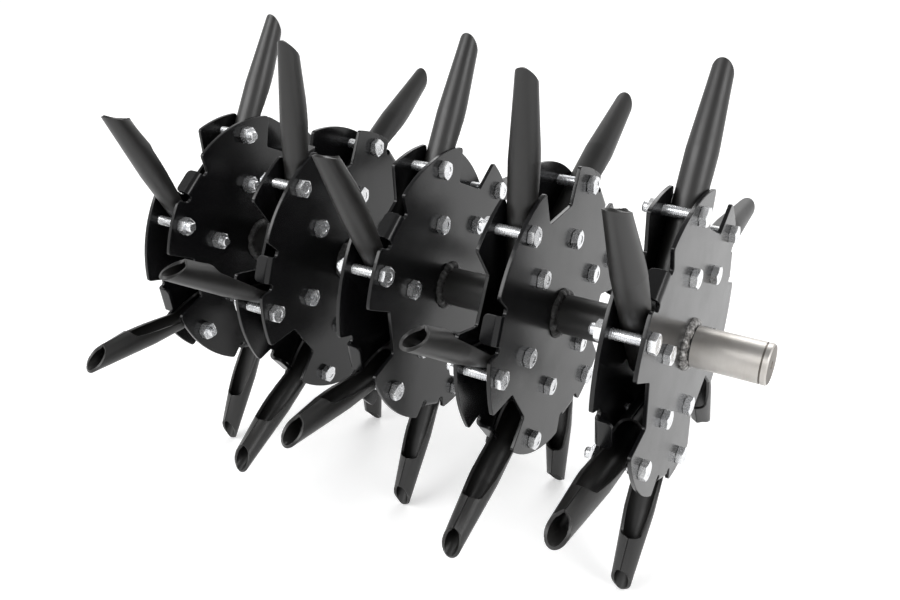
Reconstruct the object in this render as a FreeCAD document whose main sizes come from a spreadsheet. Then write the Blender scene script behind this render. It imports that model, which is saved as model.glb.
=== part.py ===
"""Rotor of a lawn core aerator: five tine wheels welded to one solid shaft.

Each wheel is a pair of cut and bent plates with six hollow coring tines bolted between them.
The shaft lies along X with the origin at the middle of its length, and +Z points up.
Lengths are in millimetres and angles in degrees.
"""
import FreeCAD, Part
import os
import Sketcher
from FreeCAD import Placement, Rotation, Vector

os.makedirs("parts", exist_ok=True)
doc = FreeCAD.newDocument("core_aerator_rotor")

# Driving dimensions, each written once. A turn, lean, flare or bevel is an angle.
SIZES = {
    # Layout of the wheels along the shaft and of the tine slots round a wheel
    "wheel_count": 5,
    "wheel_pitch": 100,
    "slot_count": 6,
    # Shaft, its ends bare and its middle thicker by its coat of paint
    "shaft_radius": 15,
    "shaft_stub": 58,
    "shaft_chamfer": 1,
    "shaft_coat": 0.2,
    # Wheel plates
    "rim_radius": 112,
    "plate_thickness": 3,
    "plate_gap": 23,
    "shaft_fit": 0.1,
    # Notch in a plate between a short lobe and the next long lobe
    "notch_depth": 29.8,
    "notch_side": 26,
    "notch_edge_turn": 13.3,
    # Tab of a plate, bent in beside each short lobe to back a tine
    "tab_lean": 26.2,
    "tab_setback": 12.5,
    "tab_width": 21.5,
    "tab_depth": 13.5,
    "tab_bend_radius": 2,
    "tab_corner": 4,
    "relief_depth": 14.6,
    "relief_width": 5,
    "relief_flare": 24,
    # Bolts and nuts that hold the tines
    "bolt_edge": 12,
    "inner_bolt_circle": 57.6,
    "inner_bolt_turn": 7,
    "bolt_radius": 4,
    "bolt_hole_gap": 0.3,
    "hex_flats": 13,
    "hex_count": 6,
    "head_height": 5.3,
    "nut_height": 6.5,
    # Coring tines, rolled from sheet
    "tine_lean": 34,
    "tine_radius": 11.4,
    "tine_wall": 2.5,
    "tine_bolt_gap": 0.3,
    "tine_start": 32,
    "taper_start": 130,
    "tine_reach": 193,
    "tip_radius": 7.8,
    "tip_bevel": 45,
    # Window in the front of a tine, its floor measured from the tine's axis
    "window_start": 68,
    "window_end": 150.5,
    "window_step": 96,
    "window_heel": 2.5,
    "window_toe": 3.2,
    # Weld beads round the shaft
    "weld_leg": 5,
    # Flats that stand for a round wall where it repeats often
    "rim_flats": 36,
    "hub_flats": 8,
    "tube_flats": 12,
    "tube_bore_flats": 8,
    "shank_flats": 4,
    # How far a cutting shape runs past what it cuts
    "overrun": 5,
}

# Sizes of a plate and its bolts that keep their distance from the plate's rim.
SIZES_FROM_RIM = {
    "notch_floor": "=rim_radius - notch_depth",
    "tab_bend_line": "=rim_radius - tab_setback",
    "relief_floor": "=rim_radius - relief_depth",
    "outer_bolt_circle": "=rim_radius - bolt_edge",
}

sheet = doc.addObject("Spreadsheet::Sheet", "Sizes")
for row, (alias, size) in enumerate((SIZES | SIZES_FROM_RIM).items(), start=1):
    sheet.set(f"A{row}", alias)
    sheet.set(f"B{row}", str(size))
    sheet.setAlias(f"B{row}", alias)
doc.recompute()


def polar(radius, turn):
    """The two coordinates of a point at a radius and an angle."""
    return f"{radius} * cos({turn})", f"{radius} * sin({turn})"


# Places that several pieces share, worked out from the driving dimensions.
SLOT_TURN = "(360 / Sizes.slot_count)"
INNER_FACE = "(Sizes.plate_gap / 2)"
OUTER_FACE = "(Sizes.plate_gap / 2 + Sizes.plate_thickness)"
SHAFT_END = (
    f"((Sizes.wheel_count - 1) / 2 * Sizes.wheel_pitch + {OUTER_FACE} + Sizes.shaft_stub)"
)
COAT_RADIUS = "(Sizes.shaft_radius + Sizes.shaft_coat)"
SEAT_START = (
    f"((Sizes.wheel_count - 1) / 2 * Sizes.wheel_pitch + {OUTER_FACE} + Sizes.weld_leg)"
)
TINE_OFFSET = (
    "(Sizes.outer_bolt_circle * sin(Sizes.tine_lean)"
    " - Sizes.bolt_radius - Sizes.tine_bolt_gap - Sizes.tine_radius)"
)
TIP_LAG = f"(Sizes.tine_lean - atan(({TINE_OFFSET} + Sizes.tip_radius) / Sizes.tine_reach) / 1 deg)"
OUTSIDE = "(Sizes.rim_radius + Sizes.overrun)"

# A slot's outer and inner bolt, in a frame with the outer one on its first axis.
BOLT_CENTRES = (
    ("Sizes.outer_bolt_circle", "0"),
    polar("Sizes.inner_bolt_circle", "Sizes.inner_bolt_turn"),
)

# The plane of a sketch and, for a turned sketch, its own axis that lies along the shaft.
SHAFT_AXIS_IN_PLANE = {
    "YZ_Plane": Vector(0, 0, 1),
    "XY_Plane": Vector(1, 0, 0),
    "XZ_Plane": Vector(1, 0, 0),
}


def value(expression):
    """The number that an expression over the sheet gives."""
    result = sheet.evalExpression(expression)
    return float(getattr(result, "Value", result))


def new_body(label):
    """An empty body with its name."""
    body = doc.addObject("PartDesign::Body", label)
    body.Label = label
    return body


def new_sketch(body, name, role, away=None, turn=None):
    """A sketch on an origin plane, moved away along its normal or turned about the shaft's axis."""
    sketch = body.newObject("Sketcher::SketchObject", name)
    plane = next(f for f in body.Origin.OriginFeatures if f.Role == role)
    sketch.AttachmentSupport = [(plane, "")]
    sketch.MapMode = "FlatFace"
    if turn is not None:
        swing = Rotation(SHAFT_AXIS_IN_PLANE[role], value(turn))
        sketch.AttachmentOffset = Placement(Vector(), swing)
        sketch.setExpression("AttachmentOffset.Rotation.Angle", turn)
    if away is not None:
        sketch.setExpression("AttachmentOffset.Base.z", away)
    return sketch


def bind(sketch, constraint, expression):
    """Add a constraint whose size is an expression."""
    index = sketch.addConstraint(constraint)
    sketch.setExpression(f"Constraints[{index}]", expression)


def pin_point(sketch, element, end, across, up):
    """Hold a point at two distances from the sketch's origin."""
    for kind, axis, distance in (("DistanceX", -2, across), ("DistanceY", -1, up)):
        if distance == "0":
            sketch.addConstraint(Sketcher.Constraint("PointOnObject", element, end, axis))
        else:
            held = Sketcher.Constraint(kind, -1, 1, element, end, value(distance))
            bind(sketch, held, distance)


def draw_outline(sketch, corners):
    """A closed outline of straight runs through corners, each placed by two expressions."""
    spots = [Vector(value(across), value(up), 0) for across, up in corners]
    lines = []
    for start, end in zip(spots, spots[1:] + spots[:1]):
        lines.append(sketch.addGeometry(Part.LineSegment(start, end)))
    for i, (across, up) in enumerate(corners):
        sketch.addConstraint(Sketcher.Constraint("Coincident", lines[i - 1], 2, lines[i], 1))
        pin_point(sketch, lines[i], 1, across, up)


def draw_polygon(sketch, centre, flats, count, turn="0"):
    """A regular polygon about a centre, given by its width across flats and the turn of one flat."""
    sides = int(value(count))
    corners = []
    for i in range(sides):
        angle = f"{turn} + ({i} + 0.5) * 360 / {count}"
        across, up = polar(f"{flats} / 2 / cos(180 / {count})", angle)
        corners.append((f"{centre[0]} + {across}", f"{centre[1]} + {up}"))
    draw_outline(sketch, corners)


def pad(body, name, sketch, length, reverse=False):
    """Extrude a sketch along its normal, or the other way."""
    feature = body.newObject("PartDesign::Pad", name)
    feature.Profile = sketch
    feature.setExpression("Length", length)
    feature.Reversed = reverse
    return feature


def pocket_through(body, name, sketch):
    """Cut a sketch's shape through everything on both sides of it."""
    feature = body.newObject("PartDesign::Pocket", name)
    feature.Profile = sketch
    feature.Type = "ThroughAll"
    feature.SideType = "Symmetric"
    return feature


def revolve(body, name, sketch):
    """Turn a profile once round its sketch's horizontal axis."""
    feature = body.newObject("PartDesign::Revolution", name)
    feature.Profile = sketch
    feature.ReferenceAxis = (sketch, ["H_Axis"])
    feature.Angle = 360
    return feature


def repeat_round(body, name, features, sketch, count):
    """Repeat features evenly round the axis square to a sketch."""
    feature = body.newObject("PartDesign::PolarPattern", name)
    feature.Originals = features
    feature.Axis = (sketch, ["N_Axis"])
    feature.Angle = 360
    feature.setExpression("Occurrences", count)
    body.Tip = feature
    return feature


def mirror_along_shaft(body, name, features):
    """Mirror features in the middle plane square to the shaft."""
    feature = body.newObject("PartDesign::Mirrored", name)
    feature.Originals = features
    plane = next(f for f in body.Origin.OriginFeatures if f.Role == "YZ_Plane")
    feature.MirrorPlane = (plane, [""])
    body.Tip = feature
    return feature


def near(first, second):
    """Whether two numbers are the same but for rounding."""
    return abs(first - second) < 1e-6


def chamfer_tab_ends(body, name, end):
    """Cut the two corners at the free end of each tab."""
    doc.recompute()
    base = body.Tip
    end_plane = value(end)
    edges = []
    for i, edge in enumerate(base.Shape.Edges, start=1):
        at_end = all(near(vertex.X, end_plane) for vertex in edge.Vertexes)
        if at_end and near(edge.Length, value("Sizes.plate_thickness")):
            edges.append(f"Edge{i}")
    feature = body.newObject("PartDesign::Chamfer", name)
    feature.Base = (base, edges)
    feature.setExpression("Size", "Sizes.tab_corner")


def make_shaft():
    """Solid round bar with chamfered ends, painted from the last weld bead at one end to the other."""
    body = new_body("shaft")
    sketch = new_sketch(body, "shaft_profile", "XZ_Plane")
    half = [
        (SHAFT_END, "0"),
        (SHAFT_END, "Sizes.shaft_radius - Sizes.shaft_chamfer"),
        (f"({SHAFT_END} - Sizes.shaft_chamfer)", "Sizes.shaft_radius"),
        (SEAT_START, "Sizes.shaft_radius"),
        (SEAT_START, COAT_RADIUS),
    ]
    draw_outline(sketch, half + [(f"-{along}", up) for along, up in reversed(half)])
    revolve(body, "shaft_bar", sketch)
    return body


def make_plate(label, side):
    """A wheel plate, with side 1 for the one towards +X and side -1 for the other.

    Both have one outline seen from +X, drawn with the bolt of a long lobe along +Y, and their
    tabs are bent towards each other.
    """
    body = new_body(label)
    low_face = INNER_FACE if side > 0 else f"-{OUTER_FACE}"
    disc = new_sketch(body, f"{label}_disc", "YZ_Plane", low_face)
    rim = "2 * Sizes.rim_radius * cos(180 / Sizes.rim_flats)"
    draw_polygon(disc, ("0", "0"), rim, "Sizes.rim_flats")
    draw_polygon(disc, ("0", "0"), f"2 * ({COAT_RADIUS} + Sizes.shaft_fit)", "Sizes.hub_flats")
    pad(body, f"{label}_blank", disc, "Sizes.plate_thickness")

    # Bolt holes, an outer and an inner one for each tine
    centres = new_sketch(body, f"{label}_hole_pair", "YZ_Plane", low_face)
    for centre in BOLT_CENTRES:
        draw_polygon(centres, centre, shank_width("Sizes.bolt_hole_gap"), "Sizes.shank_flats")
    holes = pocket_through(body, f"{label}_holes", centres)
    repeat_round(body, f"{label}_hole_ring", [holes], centres, "Sizes.slot_count")

    # Notch: one side runs along the short lobe's bolt radius, the other is radial
    notch = new_sketch(body, f"{label}_notch_outline", "YZ_Plane", low_face)
    short_lobe = SLOT_TURN
    floor_start = (
        f"(Sizes.notch_floor * cos({short_lobe}) - Sizes.notch_side) / sin({short_lobe})"
    )
    draw_outline(notch, [
        (f"{OUTSIDE} * cos({short_lobe}) - Sizes.notch_side * sin({short_lobe})",
         f"{OUTSIDE} * sin({short_lobe}) + Sizes.notch_side * cos({short_lobe})"),
        (floor_start, "Sizes.notch_floor"),
        ("-Sizes.notch_floor * tan(Sizes.notch_edge_turn)", "Sizes.notch_floor"),
        (f"-{OUTSIDE} * sin(Sizes.notch_edge_turn)", f"{OUTSIDE} * cos(Sizes.notch_edge_turn)"),
    ])
    notch_cut = pocket_through(body, f"{label}_notch", notch)

    # Seat of the tab: the sheet ends at the bend line, with a flared relief at each end of it
    tab_turn = f"{SLOT_TURN} - Sizes.tab_lean"
    seat = new_sketch(body, f"{label}_tab_seat_outline", "YZ_Plane", low_face, tab_turn)
    flared = f"({OUTSIDE} - Sizes.relief_floor) * tan(Sizes.relief_flare)"
    draw_outline(seat, [
        (OUTSIDE, f"-Sizes.relief_width - {flared}"),
        ("Sizes.relief_floor", "-Sizes.relief_width"),
        ("Sizes.relief_floor", "0"),
        ("Sizes.tab_bend_line", "0"),
        ("Sizes.tab_bend_line", "Sizes.tab_width"),
        ("Sizes.relief_floor", "Sizes.tab_width"),
        ("Sizes.relief_floor", "Sizes.tab_width + Sizes.relief_width"),
        (OUTSIDE, f"Sizes.tab_width + Sizes.relief_width + {flared}"),
    ])
    seat_cut = pocket_through(body, f"{label}_tab_seat", seat)

    # Tab: sheet bent through a right angle, seen along its bend line
    bend = new_sketch(body, f"{label}_tab_profile", "XY_Plane", turn=tab_turn)
    sign = "" if side > 0 else "-"
    root = "Sizes.tab_bend_line - Sizes.plate_thickness"
    under = "Sizes.tab_bend_line + Sizes.tab_bend_radius"
    over = f"{under} + Sizes.plate_thickness"
    around = "(Sizes.tab_bend_radius + Sizes.plate_thickness)"
    middle = (f"({INNER_FACE} - Sizes.tab_bend_radius)", "Sizes.tab_bend_line")
    corners = [(INNER_FACE, root), (OUTER_FACE, root)]
    for turned in (0, 45, 90):
        across, up = polar(around, turned)
        corners.append((f"{middle[0]} + {across}", f"{middle[1]} + {up}"))
    corners.append((f"{OUTER_FACE} - Sizes.tab_depth", over))
    corners.append((f"{OUTER_FACE} - Sizes.tab_depth", under))
    for turned in (90, 0):
        across, up = polar("Sizes.tab_bend_radius", turned)
        corners.append((f"{middle[0]} + {across}", f"{middle[1]} + {up}"))
    draw_outline(bend, [(f"{sign}({across})", up) for across, up in corners])
    tab = pad(body, f"{label}_tab", bend, "Sizes.tab_width")
    lobes = [notch_cut, seat_cut, tab]
    repeat_round(body, f"{label}_lobes", lobes, notch, "Sizes.slot_count / 2")
    chamfer_tab_ends(body, f"{label}_tab_corners", f"{sign}({OUTER_FACE} - Sizes.tab_depth)")
    return body


def make_tapered_bar(label, start, radius, tip_radius, sides):
    """A many-sided bar along +Y that narrows from the tine's shoulder to its mouth."""
    body = new_body(label)
    section = new_sketch(body, f"{label}_section", "XZ_Plane", f"-({start})")
    draw_polygon(section, ("0", "0"), f"2 * {radius}", sides)
    pad(body, f"{label}_bar", section, f"Sizes.tine_reach - ({start})", reverse=True)
    wedge = new_sketch(body, f"{label}_taper_outline", "YZ_Plane")
    draw_outline(wedge, [
        ("Sizes.taper_start", radius),
        ("Sizes.tine_reach", tip_radius),
        ("Sizes.tine_reach", f"{radius} + Sizes.overrun"),
        ("Sizes.taper_start", f"{radius} + Sizes.overrun"),
    ])
    flat = pocket_through(body, f"{label}_taper_flat", wedge)
    repeat_round(body, f"{label}_taper", [flat], section, sides)
    return body


def make_tine(label):
    """A coring tine along +Y, its front towards -Z, with the foot of its axis at the origin."""
    body = make_tapered_bar(
        label, "Sizes.tine_start", "Sizes.tine_radius", "Sizes.tip_radius", "Sizes.tube_flats"
    )
    core = make_tapered_bar(
        f"{label}_core",
        "Sizes.tine_start - Sizes.overrun",
        "(Sizes.tine_radius - Sizes.tine_wall)",
        "(Sizes.tip_radius - Sizes.tine_wall)",
        "Sizes.tube_bore_flats",
    )
    tube = body.newObject("PartDesign::Boolean", f"{label}_tube")
    tube.Type = "Cut"
    tube.setObjects([core])
    body.Tip = tube

    # The tip is ground off at a slant, and its point stays at the back
    outside = "(Sizes.tine_radius + Sizes.overrun)"
    slant = new_sketch(body, f"{label}_tip_outline", "YZ_Plane")
    draw_outline(slant, [
        ("Sizes.tine_reach + Sizes.overrun / tan(Sizes.tip_bevel)",
         "Sizes.tip_radius + Sizes.overrun"),
        (f"Sizes.tine_reach - (Sizes.tip_radius + {outside}) / tan(Sizes.tip_bevel)",
         f"-{outside}"),
        ("Sizes.tine_reach + Sizes.overrun / tan(Sizes.tip_bevel)", f"-{outside}"),
    ])
    pocket_through(body, f"{label}_tip", slant)

    # Window in the front, where the cores fall out and a tab of the plate reaches in
    window = new_sketch(body, f"{label}_window_outline", "YZ_Plane")
    draw_outline(window, [
        ("Sizes.window_start", f"-{outside}"),
        ("Sizes.window_end", f"-{outside}"),
        ("Sizes.window_end", "-Sizes.window_toe"),
        ("Sizes.window_step", "Sizes.window_heel"),
        ("Sizes.window_start", "Sizes.window_heel"),
    ])
    pocket_through(body, f"{label}_window", window)

    # Cross hole for the inner bolt, its flats turned to the bolt's own
    cross = new_sketch(body, f"{label}_bolt_hole_centre", "YZ_Plane")
    along, above = polar("Sizes.inner_bolt_circle", "(Sizes.inner_bolt_turn + Sizes.tine_lean)")
    centre = (along, f"{above} - {TINE_OFFSET}")
    hole = shank_width("Sizes.bolt_hole_gap")
    draw_polygon(cross, centre, hole, "Sizes.shank_flats", "Sizes.tine_lean")
    pocket_through(body, f"{label}_bolt_hole", cross)
    return body


def shank_width(gap):
    """The width across flats of a shank as wide as the bolt at its corners, with a gap round it."""
    return f"2 * (Sizes.bolt_radius * cos(180 / Sizes.shank_flats) + {gap})"


def make_bolts(label, side):
    """The bolts of a wheel, with their heads on the side given and their ends in the nuts."""
    body = new_body(label)
    face = OUTER_FACE if side > 0 else f"-{OUTER_FACE}"
    heads = new_sketch(body, f"{label}_heads_outline", "YZ_Plane", face)
    shanks = new_sketch(body, f"{label}_shanks_outline", "YZ_Plane", face)
    for centre in BOLT_CENTRES:
        draw_polygon(heads, centre, "Sizes.hex_flats", "Sizes.hex_count")
        draw_polygon(shanks, centre, shank_width("0"), "Sizes.shank_flats")
    head = pad(body, f"{label}_heads", heads, "Sizes.head_height", reverse=side < 0)
    shank = pad(body, f"{label}_shanks", shanks, f"2 * {OUTER_FACE}", reverse=side > 0)
    repeat_round(body, f"{label}_ring", [head, shank], heads, "Sizes.slot_count")
    return body


def make_nuts(label, side):
    """The nuts of a wheel, on the side away from the bolts' heads, each closed over its bolt."""
    body = new_body(label)
    face = f"-{OUTER_FACE}" if side > 0 else OUTER_FACE
    outline = new_sketch(body, f"{label}_outline", "YZ_Plane", face)
    for centre in BOLT_CENTRES:
        draw_polygon(outline, centre, "Sizes.hex_flats", "Sizes.hex_count")
    nut = pad(body, f"{label}_pair", outline, "Sizes.nut_height", reverse=side > 0)
    repeat_round(body, f"{label}_ring", [nut], outline, "Sizes.slot_count")
    return body


def make_welds(label):
    """The two weld beads of a wheel, each in the corner between shaft and plate."""
    body = new_body(label)
    collar = new_sketch(body, f"{label}_collar_outline", "YZ_Plane", OUTER_FACE)
    flats = f"2 * ({COAT_RADIUS} + Sizes.weld_leg)"
    draw_polygon(collar, ("0", "0"), flats, "Sizes.hub_flats")
    pad(body, f"{label}_collar", collar, "Sizes.weld_leg")
    slope = new_sketch(body, f"{label}_slope_outline", "XZ_Plane")
    crest = f"{COAT_RADIUS} + Sizes.weld_leg"
    draw_outline(slope, [
        (OUTER_FACE, crest),
        (f"{OUTER_FACE} + Sizes.weld_leg", COAT_RADIUS),
        (f"{OUTER_FACE} + Sizes.weld_leg", f"{crest} + Sizes.overrun"),
        (OUTER_FACE, f"{crest} + Sizes.overrun"),
    ])
    flat = pocket_through(body, f"{label}_slope_flat", slope)
    repeat_round(body, f"{label}_slope", [flat], collar, "Sizes.hub_flats")
    bore = new_sketch(body, f"{label}_bore_outline", "YZ_Plane")
    draw_polygon(bore, ("0", "0"), f"2 * {COAT_RADIUS}", "Sizes.hub_flats")
    pocket_through(body, f"{label}_bore", bore)
    both = mirror_along_shaft(body, f"{label}_beads", [])
    both.TransformMode = "Whole shape"
    return body


def place_copy(label, original, along, turn, rise=None):
    """A copy of a body, turned about the shaft's axis and moved along it.

    A rise lifts the copy from that axis, in its own turned frame.
    """
    copy = new_body(label)
    base = doc.addObject("PartDesign::FeatureBase", f"{label}_copy")
    base.BaseFeature = original
    copy.Group = [base]
    copy.Tip = base
    copy.Placement = Placement(Vector(), Rotation(Vector(1, 0, 0), value(turn)))
    copy.setExpression("Placement.Base.x", along)
    if rise is not None:
        copy.setExpression("Placement.Base.y", f"-{rise} * sin({turn})")
        copy.setExpression("Placement.Base.z", f"{rise} * cos({turn})")
    copy.setExpression("Placement.Rotation.Angle", turn)
    return copy


# The pieces, each drawn once at the middle of the shaft
shaft = make_shaft()
near_plate = make_plate("near_plate_pattern", 1)
far_plate = make_plate("far_plate_pattern", -1)
tine = make_tine("tine_pattern")
bolts = {side: make_bolts(f"bolts_pattern_{name}", side) for side, name in ((1, "near"), (-1, "far"))}
nuts = {side: make_nuts(f"nuts_pattern_{name}", side) for side, name in ((1, "near"), (-1, "far"))}
welds = make_welds("welds_pattern")
doc.recompute()

# The wheels. Every second one is turned by half a slot, so the tine tips of neighbours are
# evenly spaced, and the turn of the first makes the rotor stand level on two rows of tips.
pieces = [shaft]
for number in range(1, int(value("Sizes.wheel_count")) + 1):
    wheel = f"wheel_{number}"
    along = f"({number} - (Sizes.wheel_count + 1) / 2) * Sizes.wheel_pitch"
    half_slots = "-0.5" if number % 2 else "0.5"
    turn = f"(90 + {TIP_LAG} + {half_slots} * {SLOT_TURN} / 2)"
    # On the first wheel the bolts go in from the other side
    head_side = -1 if number == 1 else 1
    pieces.append(place_copy(f"{wheel}_near_plate", near_plate, along, turn))
    pieces.append(place_copy(f"{wheel}_far_plate", far_plate, along, f"({turn} - {SLOT_TURN})"))
    pieces.append(place_copy(f"{wheel}_bolts", bolts[head_side], along, turn))
    pieces.append(place_copy(f"{wheel}_nuts", nuts[head_side], along, turn))
    pieces.append(place_copy(f"{wheel}_welds", welds, along, turn))
    for slot in range(1, int(value("Sizes.slot_count")) + 1):
        tine_turn = f"({turn} + {slot - 1} * {SLOT_TURN} - Sizes.tine_lean)"
        pieces.append(place_copy(f"tine_{number}_{slot}", tine, along, tine_turn, TINE_OFFSET))
doc.recompute()

for thing in doc.Objects:
    if {"Invalid", "Error"} & set(thing.State):
        raise RuntimeError(f"{thing.Name} failed: {thing.State}")
for piece in pieces:
    if piece.Shape.isNull() or not piece.Shape.isValid():
        raise RuntimeError(f"{piece.Label} has no valid shape")
for piece in pieces:
    piece.Shape.exportStep(f"parts/{piece.Label}.step")
print(len(pieces), "pieces written")
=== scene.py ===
# Studio scene of a lawn core aerator rotor: five tine wheels on one shaft, on a white floor.
# Lengths are in millimetres until a mesh is made, angles in degrees.
import math

import bmesh
import bpy
from mathutils import Matrix, Vector, noise


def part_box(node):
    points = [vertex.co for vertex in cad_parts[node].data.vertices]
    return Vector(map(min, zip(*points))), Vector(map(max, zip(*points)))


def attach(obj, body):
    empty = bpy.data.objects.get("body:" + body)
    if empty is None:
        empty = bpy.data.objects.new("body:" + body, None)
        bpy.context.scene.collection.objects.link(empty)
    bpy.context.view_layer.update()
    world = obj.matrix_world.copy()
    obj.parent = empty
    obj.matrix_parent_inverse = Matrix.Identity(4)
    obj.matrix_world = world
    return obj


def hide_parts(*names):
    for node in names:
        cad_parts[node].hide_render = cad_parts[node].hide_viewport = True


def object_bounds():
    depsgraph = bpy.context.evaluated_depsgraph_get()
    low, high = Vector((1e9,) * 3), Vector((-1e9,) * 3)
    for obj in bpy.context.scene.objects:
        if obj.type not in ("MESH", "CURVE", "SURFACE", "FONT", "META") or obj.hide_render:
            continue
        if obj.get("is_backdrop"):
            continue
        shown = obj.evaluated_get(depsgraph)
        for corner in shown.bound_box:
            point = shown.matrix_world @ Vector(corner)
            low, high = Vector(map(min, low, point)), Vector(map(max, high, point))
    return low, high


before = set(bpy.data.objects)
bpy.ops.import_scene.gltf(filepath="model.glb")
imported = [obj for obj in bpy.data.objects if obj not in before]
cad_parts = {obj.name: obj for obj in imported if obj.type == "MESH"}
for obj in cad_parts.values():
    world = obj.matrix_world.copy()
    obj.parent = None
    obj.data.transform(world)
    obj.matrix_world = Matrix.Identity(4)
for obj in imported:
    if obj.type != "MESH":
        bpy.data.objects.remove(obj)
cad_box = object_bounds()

MM = 0.001

# Layout, shared with the frame
WHEELS = range(1, 6)
SLOTS = range(1, 7)
WHEEL_PITCH = 100.0
SLOT_TURN = 60.0
PLATE_GAP = 23.0
PLATE_THICKNESS = 3.0
OUTER_FACE = PLATE_GAP / 2 + PLATE_THICKNESS
SHAFT_RADIUS = 15.0
PAINTED_RADIUS = 15.2
SHAFT_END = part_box("shaft")[1].x / MM
OUTER_BOLT_CIRCLE = 100.0
INNER_BOLT_CIRCLE = 57.6
INNER_BOLT_TURN = 7.0
BOLT_RADIUS = 4.0
TINE_LEAN = 34.0
TINE_RADIUS = 11.4
TINE_WALL = 2.5
TINE_START = 32.0
TAPER_START = 130.0
TINE_REACH = 193.0
TIP_RADIUS = 7.8
TINE_GAP = 0.3
TINE_OFFSET = (
    OUTER_BOLT_CIRCLE * math.sin(math.radians(TINE_LEAN)) - BOLT_RADIUS - TINE_GAP - TINE_RADIUS
)
TIP_LAG = TINE_LEAN - math.degrees(math.atan((TINE_OFFSET + TIP_RADIUS) / TINE_REACH))


def wheel_place(number):
    """Where a wheel's own frame is: turned about the shaft and moved along it."""
    turn = 90 + TIP_LAG + (-SLOT_TURN / 4 if number % 2 else SLOT_TURN / 4)
    along = (number - 3) * WHEEL_PITCH
    return Matrix.Translation((along, 0, 0)) @ turned(turn)


def turned(angle):
    return Matrix.Rotation(math.radians(angle), 4, "X")


def head_side(number):
    """The side of a wheel that its bolt heads are on: the first wheel is bolted the other way."""
    return -1 if number == 1 else 1


def on_circle(radius, angle):
    return Vector((radius * math.cos(math.radians(angle)), radius * math.sin(math.radians(angle))))


# Meshes

def finish_mesh(name, bm, place, materials, node_names, crease=35):
    """Turn a bmesh in millimetres into a piece that stands for its CAD nodes."""
    bmesh.ops.transform(bm, matrix=Matrix.Scale(MM, 4) @ place, verts=bm.verts)
    bmesh.ops.recalc_face_normals(bm, faces=bm.faces)
    mesh = bpy.data.meshes.new(name)
    bm.to_mesh(mesh)
    bm.free()
    for material in materials:
        mesh.materials.append(material)
    mesh.shade_smooth()
    mesh.set_sharp_from_angle(angle=math.radians(crease))
    piece = bpy.data.objects.new(name, mesh)
    bpy.context.scene.collection.objects.link(piece)
    weighted = piece.modifiers.new("weighted_normals", "WEIGHTED_NORMAL")
    weighted.keep_sharp = True
    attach(piece, "root")
    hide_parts(*node_names)
    return piece


def rows_to_faces(bm, rows, closed=True, material=0):
    """Join rows of points, all of one length, with faces."""
    rings = [[bm.verts.new(point) for point in row] for row in rows]
    count = len(rings[0])
    for below, above in zip(rings, rings[1:]):
        for i in range(count if closed else count - 1):
            j = (i + 1) % count
            face = bm.faces.new((below[i], below[j], above[j], above[i]))
            face.material_index = material


# Corners turned by more than this, in radians, are a sheet's cut edges
SHARP_ANGLE = 1.2
FLAT_RISE = 0.1


def slice_at(bm, place, normal):
    """Split every face that a plane runs through."""
    geometry = bm.verts[:] + bm.edges[:] + bm.faces[:]
    bmesh.ops.bisect_plane(bm, geom=geometry, plane_co=place, plane_no=normal)


def thicken(bm, rise):
    """Raise a flat sheet by its thickness and break the edges all round both of its faces."""
    made = bmesh.ops.extrude_face_region(bm, geom=bm.faces[:])
    risen = [item for item in made["geom"] if isinstance(item, bmesh.types.BMVert)]
    bmesh.ops.translate(bm, vec=rise, verts=risen)
    bmesh.ops.recalc_face_normals(bm, faces=bm.faces)
    axis = Vector(rise).normalized()
    rim = [
        edge for edge in bm.edges
        if len(edge.link_faces) == 2 and edge.calc_face_angle() > SHARP_ANGLE
        and abs((edge.verts[0].co - edge.verts[1].co).dot(axis)) < FLAT_RISE
    ]
    bmesh.ops.bevel(bm, geom=rim, offset=EDGE_BREAK, segments=3, profile=0.5, affect="EDGES")


def rounded(corners, steps=6):
    """A closed outline through corners of (point, radius), rounded by arcs of so many steps."""
    outline = []
    for i, (corner, radius) in enumerate(corners):
        if not radius:
            outline.append(corner)
            continue
        back = (corners[i - 1][0] - corner).normalized()
        onward = (corners[(i + 1) % len(corners)][0] - corner).normalized()
        half = back.angle(onward) / 2
        centre = corner + (back + onward).normalized() * (radius / math.sin(half))
        start = corner + back * (radius / math.tan(half)) - centre
        swing = start.angle_signed(corner + onward * (radius / math.tan(half)) - centre)
        for step in range(steps + 1):
            spin = Matrix.Rotation(-swing * step / steps, 2)
            outline.append(centre + spin @ start)
    return outline


# Plates

RIM_RADIUS = 112.0
LOBE_CORNER = 3.0
NOTCH_FLOOR = 82.2
NOTCH_SIDE = 26.0
NOTCH_EDGE_TURN = 13.3
NOTCH_CORNER = 2.5
TAB_TURN = SLOT_TURN - 26.2
TAB_BEND_LINE = 99.5
TAB_WIDTH = 21.5
TAB_DEPTH = 13.5
TAB_BEND_RADIUS = 2.0
TAB_CORNER = 4.0
RELIEF_FLOOR = 97.4
RELIEF_WIDTH = 5.0
RELIEF_CORNER = 2.2
RELIEF_FLARE = 24.0
EDGE_BREAK = 0.5
NEUTRAL_RADIUS = TAB_BEND_RADIUS + PLATE_THICKNESS / 2
BEND_LENGTH = NEUTRAL_RADIUS * math.pi / 2
TAB_FLAT = TAB_DEPTH - TAB_BEND_RADIUS - PLATE_THICKNESS


def in_tab_frame(along, across):
    """A point given along the normal of the tab's bend line and across it."""
    normal = on_circle(1, TAB_TURN)
    return normal * along + Vector((-normal.y, normal.x)) * across


def rim_hit(start, direction):
    """Where a ray from a point meets the rim."""
    direction = direction.normalized()
    middle = start.dot(direction)
    return start + direction * (-middle + math.sqrt(middle**2 - start.dot(start) + RIM_RADIUS**2))


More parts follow.
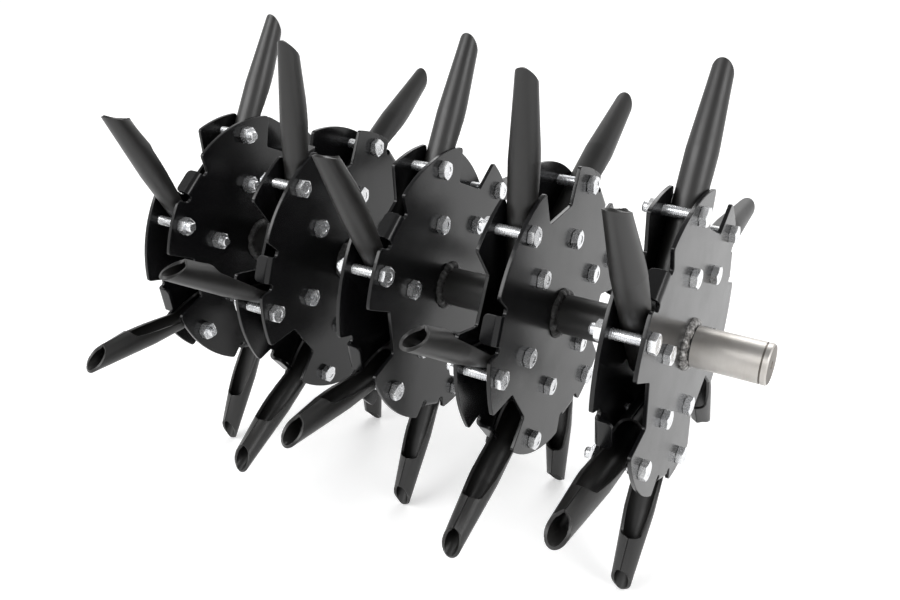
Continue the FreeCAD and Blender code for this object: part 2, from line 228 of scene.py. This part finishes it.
def plate_third():
    """The corners of a third of a plate's outline.

    They run along a long lobe, a tab laid flat, a short lobe and a notch.
    """
    flare = math.radians(RELIEF_FLARE)
    short_lobe = on_circle(1, SLOT_TURN)
    notch_start = short_lobe * ((NOTCH_FLOOR - NOTCH_SIDE * short_lobe.x) / short_lobe.y)
    notch_start = notch_start + Vector((-short_lobe.y, short_lobe.x)) * NOTCH_SIDE
    notch_end = Vector((-NOTCH_FLOOR * math.tan(math.radians(NOTCH_EDGE_TURN)), NOTCH_FLOOR))
    low_relief = in_tab_frame(RELIEF_FLOOR, -RELIEF_WIDTH)
    high_relief = in_tab_frame(RELIEF_FLOOR, TAB_WIDTH + RELIEF_WIDTH)
    normal = in_tab_frame(1, 0)
    side = in_tab_frame(0, 1)
    low_rim = rim_hit(low_relief, normal - side * math.tan(flare))
    high_rim = rim_hit(high_relief, normal + side * math.tan(flare))
    notch_rim = rim_hit(notch_start, short_lobe)
    tab_end = TAB_BEND_LINE + BEND_LENGTH + TAB_FLAT
    corners = [(on_circle(RIM_RADIUS, NOTCH_EDGE_TURN + 90 - 2 * SLOT_TURN), LOBE_CORNER)]
    corners += rim_between(corners[0][0], low_rim)
    corners += [
        (low_rim, LOBE_CORNER),
        (low_relief, RELIEF_CORNER),
        (in_tab_frame(RELIEF_FLOOR, 0), RELIEF_CORNER),
        (in_tab_frame(tab_end, 0), TAB_CORNER),
        (in_tab_frame(tab_end, TAB_WIDTH), TAB_CORNER),
        (in_tab_frame(RELIEF_FLOOR, TAB_WIDTH), RELIEF_CORNER),
        (high_relief, RELIEF_CORNER),
        (high_rim, LOBE_CORNER),
    ]
    corners += rim_between(high_rim, notch_rim)
    corners += [(notch_rim, LOBE_CORNER), (notch_start, NOTCH_CORNER), (notch_end, NOTCH_CORNER)]
    return corners


def rim_between(start, end, spacing=3.0):
    """Points along the rim between two corners, so far apart in degrees."""
    first = math.degrees(math.atan2(start.y, start.x))
    span = math.degrees(math.atan2(end.y, end.x)) - first
    steps = round(span / spacing)
    return [(on_circle(RIM_RADIUS, first + span * i / steps), 0) for i in range(1, steps)]


def bend_tab(point, third):
    """Where a point of the flat plate goes when its tab is bent.

    The x of a point is its depth below the plate's outer face.
    """
    depth = point.x
    flat = Matrix.Rotation(math.radians(-120.0 * third), 2) @ Vector((point.y, point.z))
    normal, side = in_tab_frame(1, 0), in_tab_frame(0, 1)
    along, across = flat.dot(normal), flat.dot(side)
    past = along - TAB_BEND_LINE
    if past <= 0 or not -1 < across < TAB_WIDTH + 1:
        return point
    swing = min(past / NEUTRAL_RADIUS, math.pi / 2)
    reach = TAB_BEND_RADIUS + PLATE_THICKNESS - depth
    middle = TAB_BEND_RADIUS + PLATE_THICKNESS
    new_depth = middle - reach * math.cos(swing) + max(past - BEND_LENGTH, 0)
    new_along = TAB_BEND_LINE + reach * math.sin(swing)
    moved = Matrix.Rotation(math.radians(120.0 * third), 2) @ (normal * new_along + side * across)
    return Vector((new_depth, moved.x, moved.y))


def make_plate(name, side, place, node):
    """A wheel plate, cut flat with rounded corners and broken edges, its tabs then bent inwards."""
    bm = bmesh.new()
    corners = []
    for third in range(3):
        spin = Matrix.Rotation(math.radians(120.0 * third), 2)
        corners += [(spin @ corner, radius) for corner, radius in plate_third()]
    loop = [bm.verts.new((0, point.x, point.y)) for point in rounded(corners)]
    edges = [bm.edges.new((loop[i - 1], loop[i])) for i in range(len(loop))]
    bmesh.ops.triangle_fill(bm, use_beauty=True, edges=edges, normal=(1, 0, 0))
    for third in range(3):
        normal = Matrix.Rotation(math.radians(120.0 * third), 2) @ in_tab_frame(1, 0)
        for step in range(9):
            cut = normal * (TAB_BEND_LINE + BEND_LENGTH * step / 8)
            slice_at(bm, (0, *cut), (0, *normal))
    thicken(bm, (PLATE_THICKNESS, 0, 0))
    for vert in bm.verts:
        for third in range(3):
            vert.co = bend_tab(vert.co, third)
    face = Matrix.Translation((side * OUTER_FACE, 0, 0)) @ Matrix.Scale(-side, 4, (1, 0, 0))
    return finish_mesh(name, bm, place @ face, [POWDER], [node], crease=40)


# Tines

WINDOW_START = 68.0
WINDOW_END = 149.5
WINDOW_HEEL_FRONT = 8.0
WINDOW_SIDE_START = 93.0
WINDOW_SIDE = 1.4
WINDOW_TOE = 6.3
WINDOW_TOE_DRAW = 2.6
WINDOW_CORNER = 5.5
SEAM_GAP = 0.35
TIP_GRIND = 0.1
RIDGE_START = 140.0
RIDGE_TURN = 38.0
RIDGE_SHRINK = 0.05
TINE_STEP = 7.5
# How wide a radian of a tine's round is while its sheet is flat
FLAT_WIDTH = 10


def tine_radius(s):
    """The outer radius of a tine at a distance along it, less and less from TAPER_START on."""
    taper = (s - TAPER_START) / (TINE_REACH - TAPER_START)
    return TINE_RADIUS - (TINE_RADIUS - TIP_RADIUS) * max(taper, 0)


def tip_end(turn):
    """How far a tine reaches at a turn from its back, where it is ground off at a slant."""
    s = TINE_REACH
    for _ in range(20):
        s = TINE_REACH - TIP_GRIND - (TIP_RADIUS - tine_radius(s) * math.cos(turn))
    return s


def window_side():
    """The window's edge on one side of a tine, as turns from the back and distances along it."""
    outside = TINE_RADIUS + 4
    corners = [
        (Vector((WINDOW_START, -outside)), 0),
        (Vector((WINDOW_START, -WINDOW_HEEL_FRONT)), WINDOW_CORNER),
        (Vector((WINDOW_SIDE_START, WINDOW_SIDE)), 2 * WINDOW_CORNER),
        (Vector((WINDOW_END, -WINDOW_TOE)), WINDOW_CORNER),
        (Vector((WINDOW_END + WINDOW_TOE_DRAW, -outside)), 0),
    ]
    path = rounded(corners)
    dense = []
    for start, end in zip(path, path[1:]):
        steps = max(1, math.ceil((end - start).length / 1.5))
        dense += [start.lerp(end, i / steps) for i in range(steps)]
    return [(math.acos(h / tine_radius(s)), s) for s, h in dense if abs(h) < tine_radius(s) * 0.995]


def ridge(turn, s):
    """How a tine's round is drawn out to a ridge along its seam, more and more towards the tip."""
    share = min(max((s - RIDGE_START) / (TINE_REACH - 2 * TIP_RADIUS - RIDGE_START), 0), 1)
    flat = math.radians(RIDGE_TURN) * share
    off_seam = math.pi - abs(turn)
    drawn = 1 / math.cos(max(flat - off_seam, 0))
    return drawn * (1 - RIDGE_SHRINK * share * (1 - math.cos(turn)) / 2)


def make_tine(name, place, node):
    """A coring tine: a sheet with its window cut out, rolled round to a seam in front."""
    seam = math.pi - SEAM_GAP / 2 / TINE_RADIUS
    strip = math.pi / 24
    tip = [(strip * i, tip_end(strip * i)) for i in range(25)]
    half = [(min(turn, seam), s) for turn, s in tip]
    half += [(seam, WINDOW_END + WINDOW_TOE_DRAW * 0.7)]
    half += window_side()[::-1] + [(seam, WINDOW_START), (seam, TINE_START)]
    outline = half + [(-turn, s) for turn, s in half[::-1]][:-1]
    bm = bmesh.new()
    loop = [bm.verts.new((turn * FLAT_WIDTH, s, 0)) for turn, s in outline]
    edges = [bm.edges.new((loop[i - 1], loop[i])) for i in range(len(loop))]
    bmesh.ops.triangle_fill(bm, use_beauty=True, edges=edges, normal=(0, 0, 1))
    for i in range(-23, 24):
        slice_at(bm, (strip * i * FLAT_WIDTH, 0, 0), (1, 0, 0))
    s = TINE_START + TINE_STEP
    while s < TINE_REACH:
        slice_at(bm, (0, s, 0), (0, 1, 0))
        s += TINE_STEP
    thicken(bm, (0, 0, -TINE_WALL))
    for vert in bm.verts:
        turn, s, rise = vert.co.x / FLAT_WIDTH, vert.co.y, vert.co.z
        radius = (tine_radius(s) + rise) * ridge(turn, s)
        vert.co = (radius * math.sin(turn), s, radius * math.cos(turn))
    return finish_mesh(name, bm, place, [TINE], [node])


# Bolts and nuts

HEX_FLATS = 13.0
HEAD_HEIGHT = 5.3
NUT_HEIGHT = 6.5
BOLT_LENGTH = 40.0
WASHER_FACE = 0.45
WASHER_FACE_RADIUS = 5.7
DIMPLE_RADIUS = 3.7
THREAD_PITCH = 1.25
THREAD_DEPTH = 0.68
HEX_STEPS = 48
HEX_TURN = 60
CROWN_SHARE = 0.96
CROWN_SLOPE = 25
CROWN_LAND = 0.6
DIMPLE_DRAFT = 0.4
DIMPLE_DEPTH = 0.35
POINT_CHAMFER = 0.8
POINT_INSET = 0.7
SHOULDER_INSET = 0.1
THREAD_OVERRUN = 1
BORE_CLEARANCE = 0.35
BORE_CHAMFER = 0.5
BORE_OVERLAP = 0.3
# The radius of a ring that closes a round face at its middle
CENTRE = 0.02
# What sets the random turns of outer and inner bolts apart
OUTER_DRAW, INNER_DRAW = 3.0, 7.0


def hex_reach(angle):
    """How far a hexagon reaches at an angle from the middle of a side."""
    return HEX_FLATS / 2 / math.cos((angle + math.pi / 6) % (math.pi / 3) - math.pi / 6)


def hex_rows(low, high, chamfer_low):
    """Rows of a hexagon block between two heights, its corners turned off by a cone at the top.

    The last three rows are the dimple in the middle of a bolt's head.
    """
    crown = HEX_FLATS / 2 * CROWN_SHARE
    slope = math.tan(math.radians(CROWN_SLOPE))
    angles = [2 * math.pi * i / HEX_STEPS for i in range(HEX_STEPS)]

    def ring(reach, rise):
        return [(rise(a), reach(a) * math.cos(a), reach(a) * math.sin(a)) for a in angles]

    def cut(a):
        return (hex_reach(a) - crown) * slope

    foot = [ring(lambda a: CENTRE, lambda a: low), ring(hex_reach, lambda a: low)]
    if chamfer_low:
        foot = [
            ring(lambda a: BOLT_RADIUS - DIMPLE_DRAFT, lambda a: low),
            ring(lambda a: crown, lambda a: low),
            ring(hex_reach, lambda a: low + cut(a)),
        ]
    top = [
        ring(hex_reach, lambda a: high - cut(a)),
        ring(lambda a: crown, lambda a: high),
        ring(lambda a: crown - CROWN_LAND, lambda a: high),
    ]
    return foot + top + [
        ring(lambda a: DIMPLE_RADIUS, lambda a: high),
        ring(lambda a: DIMPLE_RADIUS - DIMPLE_DRAFT, lambda a: high - DIMPLE_DEPTH),
        ring(lambda a: CENTRE, lambda a: high - DIMPLE_DEPTH),
    ]


def thread_rows(low, high):
    """Rows of a threaded rod between two heights: each row climbs by one pitch in its turn."""
    turns = 24
    rows = []
    for pitch in range(-1, math.ceil((high - low) / THREAD_PITCH)):
        for share, depth in ((0.0, THREAD_DEPTH), (0.38, 0.0), (0.62, 0.0)):
            points = []
            for i in range(turns + 1):
                rise = low + (pitch + share + i / turns) * THREAD_PITCH
                inside = low < rise < high
                radius = BOLT_RADIUS - (depth if inside else THREAD_DEPTH)
                angle = 2 * math.pi * i / turns
                rise = min(max(rise, low), high)
                points.append((rise, radius * math.cos(angle), radius * math.sin(angle)))
            rows.append(points)
    return rows


def rod_rows(low, high, radius=BOLT_RADIUS, turns=32):
    """Rows of a plain rod."""
    angles = [2 * math.pi * i / turns for i in range(turns)]
    ends = (low, high)
    return [[(end, radius * math.cos(a), radius * math.sin(a)) for a in angles] for end in ends]


def add_rows(bm, rows, place, closed=True):
    """Add rows of points, moved to their place, as one skin."""
    rows_to_faces(bm, [[place @ Vector(point) for point in row] for row in rows], closed)


def bolt_places(side, seed):
    """The place of each bolt of a wheel, each turned a different way about its own axis."""
    flip = Matrix.Scale(side, 4, (1, 0, 0))
    for slot in SLOTS:
        base = (slot - 1) * SLOT_TURN
        for draw, centre in (
            (OUTER_DRAW, on_circle(OUTER_BOLT_CIRCLE, base)),
            (INNER_DRAW, on_circle(INNER_BOLT_CIRCLE, base + INNER_BOLT_TURN)),
        ):
            spin = HEX_TURN * noise.cell(Vector((seed, slot, draw)))
            yield Matrix.Translation((0, *centre)) @ turned(spin) @ flip


def make_bolts(number, place):
    """The bolts of a wheel, with washer-faced, turned-off heads, and threads where they show."""
    bm = bmesh.new()
    end = OUTER_FACE - BOLT_LENGTH
    shoulder = end + POINT_CHAMFER
    seat = OUTER_FACE + WASHER_FACE
    inside_nut = -OUTER_FACE - NUT_HEIGHT + THREAD_OVERRUN
    inside_plate = PLATE_GAP / 2 + THREAD_OVERRUN
    for at in bolt_places(head_side(number), number):
        under = rod_rows(OUTER_FACE, OUTER_FACE, CENTRE, HEX_STEPS)[:1]
        under += rod_rows(OUTER_FACE, seat, WASHER_FACE_RADIUS, HEX_STEPS)
        add_rows(bm, under + hex_rows(seat, OUTER_FACE + HEAD_HEIGHT, False)[1:], at)
        add_rows(bm, thread_rows(shoulder, inside_nut), at, closed=False)
        point = [
            rod_rows(end, end, CENTRE)[0],
            rod_rows(end, end, BOLT_RADIUS - POINT_INSET)[0],
            rod_rows(shoulder, shoulder, BOLT_RADIUS - SHOULDER_INSET)[0],
        ]
        add_rows(bm, point, at)
        add_rows(bm, thread_rows(-inside_plate, inside_plate), at, closed=False)
    bmesh.ops.remove_doubles(bm, verts=bm.verts, dist=0.004)
    node = f"wheel_{number}_bolts"
    return finish_mesh(f"dressed_bolts_{number}", bm, place, [ZINC], [node], crease=16)


def make_nuts(number, place):
    """The nuts of a wheel, turned off on both faces."""
    bm = bmesh.new()
    low, high = OUTER_FACE, OUTER_FACE + NUT_HEIGHT
    mouth = BOLT_RADIUS + BORE_CLEARANCE
    rows = hex_rows(low, high, True)[:-3]
    rows += rod_rows(high, high, mouth, HEX_STEPS)[:1]
    rows += rod_rows(high - BORE_CHAMFER, low, BOLT_RADIUS - BORE_OVERLAP, HEX_STEPS)
    for at in bolt_places(head_side(number), number + 0.5):
        add_rows(bm, rows, at @ Matrix.Scale(-1, 4, (1, 0, 0)))
    node = f"wheel_{number}_nuts"
    return finish_mesh(f"dressed_nuts_{number}", bm, place, [ZINC], [node], crease=16)


# Welds and shaft

WELD_LEG = 5.0


def make_welds(number, along):
    """Two rough weld beads in the corners between the shaft and a wheel's plates."""
    bm = bmesh.new()
    around, across = 150, 10
    for side in (-1, 1):
        rows = []
        for j in range(across + 1):
            swing = math.pi / 2 * j / across
            row = []
            for i in range(around):
                angle = 2 * math.pi * i / around
                spot = Vector((math.cos(angle) * 3, math.sin(angle) * 3, side * 5 + number * 11))
                wander = noise.noise(spot) * 1.6
                pitch = math.sin(angle * 60 + 3.5 * noise.noise(spot * 2) + 1.3 * math.cos(swing))
                swell = math.sin(2 * swing) * (0.1 + 0.05 * pitch + 0.5 * noise.noise(spot * 2))
                leg = WELD_LEG - 0.7 + wander + 0.2 * noise.noise(spot * 4)
                rise = math.cos(swing) * leg
                out = math.sin(swing) * leg
                radius = PAINTED_RADIUS - 0.2 + rise + swell * 0.7
                x = OUTER_FACE - 0.2 + out + swell * 0.7
                row.append((side * x, radius * math.cos(angle), radius * math.sin(angle)))
            rows.append(row)
        outermost = side * (number - 3) == 2
        rows_to_faces(bm, rows, material=0 if outermost else 1)
    node = f"wheel_{number}_welds"
    place = Matrix.Translation((along, 0, 0))
    skins = [WELD, PAINTED_WELD]
    return finish_mesh(f"dressed_welds_{number}", bm, place, skins, [node], crease=80)


def make_shaft():
    """The shaft: painted between the wheels, bare outside, with a fine groove near each end."""
    bm = bmesh.new()
    painted = 2 * WHEEL_PITCH + OUTER_FACE + WELD_LEG
    profile = [
        (0, PAINTED_RADIUS), (painted - 0.4, PAINTED_RADIUS), (painted, SHAFT_RADIUS),
        (SHAFT_END - 5.5, SHAFT_RADIUS),
        (SHAFT_END - 5.4, SHAFT_RADIUS - 0.6), (SHAFT_END - 4.3, SHAFT_RADIUS - 0.6),
        (SHAFT_END - 4.2, SHAFT_RADIUS), (SHAFT_END - 1.1, SHAFT_RADIUS),
        (SHAFT_END - 0.9, SHAFT_RADIUS - 0.15), (SHAFT_END - 0.1, SHAFT_RADIUS - 0.95),
        (SHAFT_END, SHAFT_RADIUS - 1.15), (SHAFT_END, 3.2), (SHAFT_END - 3.5, 0.3),
        (SHAFT_END - 3.5, 0.01),
    ]
    steps = 96
    angles = [2 * math.pi * i / steps for i in range(steps)]
    for side in (-1, 1):
        rows_to_faces(bm, [
            [(side * x, radius * math.cos(a), radius * math.sin(a)) for a in angles]
            for x, radius in profile
        ])
    bmesh.ops.remove_doubles(bm, verts=bm.verts, dist=0.005)
    for face in bm.faces:
        along = abs(face.calc_center_median().x)
        grooved = SHAFT_END - 5.5 < along < SHAFT_END - 4.2
        from_axis = face.calc_center_median().yz.length
        # The groove, the flat end face and the centre hole get the darker steel; in the groove and
        # the centre hole it is painted shade.
        cut = grooved or along > SHAFT_END - 0.05 or from_axis < SHAFT_RADIUS / 2
        face.material_index = 1 if along < painted else 2 if cut else 0
    skins = [STEEL, TINE, DARKENED_STEEL]
    return finish_mesh("dressed_shaft", bm, Matrix(), skins, ["shaft"], crease=30)


# Materials

class Shader:
    """A node material under construction, with its principled shader."""

    def __init__(self, name, colour, metallic, roughness):
        self.material = bpy.data.materials.new(name)
        self.material.use_nodes = True
        self.tree = self.material.node_tree
        self.principled = self.tree.nodes["Principled BSDF"]
        self.principled.inputs["Base Color"].default_value = (*colour, 1)
        self.principled.inputs["Metallic"].default_value = metallic
        self.principled.inputs["Roughness"].default_value = roughness
        self.place = self.tree.nodes.new("ShaderNodeTexCoord").outputs["Object"]

    def link(self, source, target):
        self.tree.links.new(source, target)

    def stretched(self, scale):
        """The place on the object, scaled by axis."""
        mapping = self.tree.nodes.new("ShaderNodeMapping")
        mapping.inputs["Scale"].default_value = scale
        self.link(self.place, mapping.inputs["Vector"])
        return mapping.outputs["Vector"]

    def noise(self, scale, detail=4.0, roughness=0.55, place=None):
        texture = self.tree.nodes.new("ShaderNodeTexNoise")
        texture.inputs["Scale"].default_value = scale
        texture.inputs["Detail"].default_value = detail
        texture.inputs["Roughness"].default_value = roughness
        self.link(place or self.place, texture.inputs["Vector"])
        return texture.outputs["Fac"]

    def spread(self, source, low, high, start=0.3, end=0.7):
        """A noise value mapped to a range."""
        span = self.tree.nodes.new("ShaderNodeMapRange")
        limits = {"From Min": start, "From Max": end, "To Min": low, "To Max": high}
        for name, value in limits.items():
            span.inputs[name].default_value = value
        self.link(source, span.inputs["Value"])
        return span.outputs["Result"]

    def ramp(self, source, stops):
        """Colours along a noise value."""
        ramp = self.tree.nodes.new("ShaderNodeValToRGB")
        elements = ramp.color_ramp.elements
        for i, (position, colour) in enumerate(stops):
            element = elements[i] if i < 2 else elements.new(position)
            element.position = position
            element.color = (*colour, 1)
        self.link(source, ramp.inputs["Fac"])
        return ramp.outputs["Color"]

    def bump(self, height, strength, distance):
        bump = self.tree.nodes.new("ShaderNodeBump")
        bump.inputs["Strength"].default_value = strength
        bump.inputs["Distance"].default_value = distance
        self.link(height, bump.inputs["Height"])
        self.link(bump.outputs["Normal"], self.principled.inputs["Normal"])


def satin_coat(name, dark, light, smooth, rough, peel, ior):
    """Satin black paint: a fine orange peel and slight cloudiness."""
    shader = Shader(name, dark, 0.0, smooth)
    tones = [(0.35, dark), (0.7, light)]
    shader.link(shader.ramp(shader.noise(9.0, 5.0), tones), shader.principled.inputs["Base Color"])
    haze = shader.spread(shader.noise(35.0, 6.0), smooth, rough)
    shader.link(haze, shader.principled.inputs["Roughness"])
    shader.principled.inputs["IOR"].default_value = ior
    shader.bump(shader.noise(500.0, 2.0), peel, 0.0003)
    return shader.material


def zinc_plate():
    """Bright zinc plating, a little cloudy."""
    shader = Shader("zinc_plate", (0.85, 0.86, 0.87), 0.85, 0.25)
    cloud = shader.noise(90.0, 3.0)
    tones = [(0.3, (0.78, 0.79, 0.81)), (0.7, (0.9, 0.905, 0.91))]
    shader.link(shader.ramp(cloud, tones), shader.principled.inputs["Base Color"])
    haze = shader.spread(shader.noise(300.0), 0.2, 0.32)
    shader.link(haze, shader.principled.inputs["Roughness"])
    shader.bump(shader.noise(900.0, 2.0), 0.08, 0.0002)
    return shader.material


def bare_steel(name, dark, light, smooth, rough):
    """Turned bar with fine rings round it and a faint warm stain."""
    shader = Shader(name, light, 1.0, smooth)
    rings = shader.noise(1.0, 4.0, 0.6, shader.stretched((2600.0, 30.0, 30.0)))
    stain = shader.noise(45.0, 5.0)
    tones = [(0.35, dark), (0.65, light)]
    shader.link(shader.ramp(stain, tones), shader.principled.inputs["Base Color"])
    shader.link(shader.spread(rings, smooth, rough), shader.principled.inputs["Roughness"])
    shader.bump(rings, 0.25, 0.0002)
    return shader.material


def weld_metal(name, level, metallic):
    """Weld bead, scaled grey with a trace of brown, as bright as the level says."""
    shader = Shader(name, (0.2 * level, 0.195 * level, 0.19 * level), metallic, 0.4)
    scale = shader.noise(420.0, 6.0)
    tones = [(0.32, (0.03, 0.029, 0.028)), (0.5, (0.2, 0.193, 0.186)), (0.68, (0.55, 0.54, 0.53))]
    tones = [(at, tuple(level * part for part in tone)) for at, tone in tones]
    shader.link(shader.ramp(scale, tones), shader.principled.inputs["Base Color"])
    shader.link(shader.spread(scale, 0.25, 0.55), shader.principled.inputs["Roughness"])
    shader.bump(shader.noise(900.0, 5.0), 0.8, 0.0009)
    return shader.material


POWDER = satin_coat(
    "powder_coat", (0.004, 0.004, 0.0045), (0.007, 0.007, 0.0075),
    smooth=0.18, rough=0.26, peel=0.05, ior=1.43,
)
TINE = satin_coat(
    "tine_coat", (0.006, 0.0058, 0.0056), (0.011, 0.0104, 0.0098),
    smooth=0.36, rough=0.46, peel=0.08, ior=1.55,
)
ZINC = zinc_plate()
STEEL = bare_steel("bare_steel", (0.5, 0.475, 0.445), (0.59, 0.57, 0.545), 0.34, 0.5)
# Darker steel: painted shade in the shaft's groove and centre hole, and the colour of its flat end
# face.
DARKENED_STEEL = bare_steel("darkened_steel", (0.13, 0.115, 0.1), (0.22, 0.2, 0.18), 0.4, 0.55)
WELD = weld_metal("weld_metal", 1.0, 0.75)
PAINTED_WELD = weld_metal("painted_weld", 0.12, 0.2)

make_shaft()
for number in WHEELS:
    place = wheel_place(number)
    make_plate(f"dressed_near_plate_{number}", 1, place, f"wheel_{number}_near_plate")
    far = place @ turned(-SLOT_TURN)
    make_plate(f"dressed_far_plate_{number}", -1, far, f"wheel_{number}_far_plate")
    make_bolts(number, place)
    make_nuts(number, place)
    make_welds(number, (number - 3) * WHEEL_PITCH)
    for slot in SLOTS:
        lean = turned((slot - 1) * SLOT_TURN - TINE_LEAN)
        tine_place = place @ lean @ Matrix.Translation((0, 0, TINE_OFFSET))
        make_tine(f"dressed_tine_{number}_{slot}", tine_place, f"tine_{number}_{slot}")


# Floor, light and camera

def make_floor():
    """A wide white floor that keeps the rotor's soft shadow."""
    low = cad_box[0].z
    bm = bmesh.new()
    bmesh.ops.create_grid(bm, x_segments=40, y_segments=40, size=30)
    bmesh.ops.translate(bm, vec=(0, 0, low), verts=bm.verts)
    mesh = bpy.data.meshes.new("floor")
    bm.to_mesh(mesh)
    bm.free()
    floor = bpy.data.objects.new("floor", mesh)
    bpy.context.scene.collection.objects.link(floor)
    shader = Shader("floor_white", (0.86, 0.86, 0.86), 0.0, 0.6)
    tree = shader.tree
    glow = tree.nodes.new("ShaderNodeEmission")
    strength = tree.nodes.new("ShaderNodeMath")
    strength.operation = "MULTIPLY"
    reach = tree.nodes.new("ShaderNodeVectorMath")
    reach.operation = "LENGTH"
    tree.links.new(shader.place, reach.inputs[0])
    tree.links.new(shader.spread(reach.outputs["Value"], 0.36, 0.55, 0.9, 2.4), strength.inputs[1])
    tree.links.new(seen_directly(tree), strength.inputs[0])
    tree.links.new(strength.outputs[0], glow.inputs["Strength"])
    both = tree.nodes.new("ShaderNodeAddShader")
    tree.links.new(shader.principled.outputs[0], both.inputs[0])
    tree.links.new(glow.outputs[0], both.inputs[1])
    tree.links.new(both.outputs[0], tree.nodes["Material Output"].inputs["Surface"])
    mesh.materials.append(shader.material)
    floor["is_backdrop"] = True


def seen_directly(tree):
    """One for a ray from the camera, a reflection or a clear piece, and zero for any other."""
    path = tree.nodes.new("ShaderNodeLightPath")
    seen = path.outputs["Is Camera Ray"]
    for kind in ("Is Glossy Ray", "Is Transmission Ray"):
        either = tree.nodes.new("ShaderNodeMath")
        either.operation = "MAXIMUM"
        tree.links.new(seen, either.inputs[0])
        tree.links.new(path.outputs[kind], either.inputs[1])
        seen = either.outputs[0]
    return seen


def make_world():
    """A surround that is white round the horizon and darker overhead, and a plain soft light."""
    world = bpy.data.worlds.new("studio")
    bpy.context.scene.world = world
    world.use_nodes = True
    tree = world.node_tree
    back = tree.nodes["Background"]
    back.inputs["Color"].default_value = (1, 1, 1, 1)
    aim = tree.nodes.new("ShaderNodeTexCoord")
    parts = tree.nodes.new("ShaderNodeSeparateXYZ")
    tree.links.new(aim.outputs["Generated"], parts.inputs["Vector"])
    ceiling = tree.nodes.new("ShaderNodeMapRange")
    ceiling.interpolation_type = "SMOOTHSTEP"
    for name, value in (("From Min", 0.45), ("From Max", 0.85), ("To Min", 1.0), ("To Max", 0.3)):
        ceiling.inputs[name].default_value = value
    tree.links.new(parts.outputs["Z"], ceiling.inputs["Value"])
    level = tree.nodes.new("ShaderNodeMapRange")
    level.inputs["To Min"].default_value = 0.55
    tree.links.new(ceiling.outputs["Result"], level.inputs["To Max"])
    tree.links.new(seen_directly(tree), level.inputs["Value"])
    tree.links.new(level.outputs["Result"], back.inputs["Strength"])


def add_softbox(name, position, target, size, power):
    """A rectangular soft light aimed at a point."""
    data = bpy.data.lights.new(name, "AREA")
    data.shape = "RECTANGLE"
    data.size, data.size_y = size
    data.energy = power
    lamp = bpy.data.objects.new(name, data)
    lamp.location = position
    lamp.rotation_euler = (Vector(target) - Vector(position)).to_track_quat("-Z", "Y").to_euler()
    bpy.context.scene.collection.objects.link(lamp)


# Where the photograph was taken from, in millimetres, and how its camera stood
CAMERA_PLACE = Vector((363.8, -578.1, 304.0))
CAMERA_RIGHT = Vector((0.857, 0.516, 0.0)).normalized()
CAMERA_AHEAD = Vector((-0.467, 0.7755, -0.4254)).normalized()
CAMERA_LENS = 36.29
CAMERA_SENSOR = 36.0


def make_camera():
    """The camera at the photograph's place and angle."""
    data = bpy.data.cameras.new("camera")
    data.sensor_width = CAMERA_SENSOR
    data.lens = CAMERA_LENS
    data.clip_start, data.clip_end = 0.05, 100.0
    camera = bpy.data.objects.new("camera", data)
    up = CAMERA_RIGHT.cross(CAMERA_AHEAD)
    turn = Matrix((CAMERA_RIGHT, up, -CAMERA_AHEAD)).transposed().to_4x4()
    camera.matrix_world = Matrix.Translation(CAMERA_PLACE * MM) @ turn
    bpy.context.scene.collection.objects.link(camera)
    bpy.context.scene.camera = camera


make_floor()
make_world()
add_softbox("key", (-0.9, -1.3, 1.3), (0, 0, 0), (1.6, 1.0), 26)
add_softbox("side", (1.8, -0.4, 1.1), (0, 0, 0), (0.9, 1.1), 16)
add_softbox("back", (-0.3, 1.5, 1.3), (0, 0, 0), (1.6, 0.9), 15)
make_camera()
bpy.context.scene.view_settings.view_transform = "Standard"

boxes = {"cad": cad_box, "visual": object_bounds()}
{name: [list(corner) for corner in box] for name, box in boxes.items()}
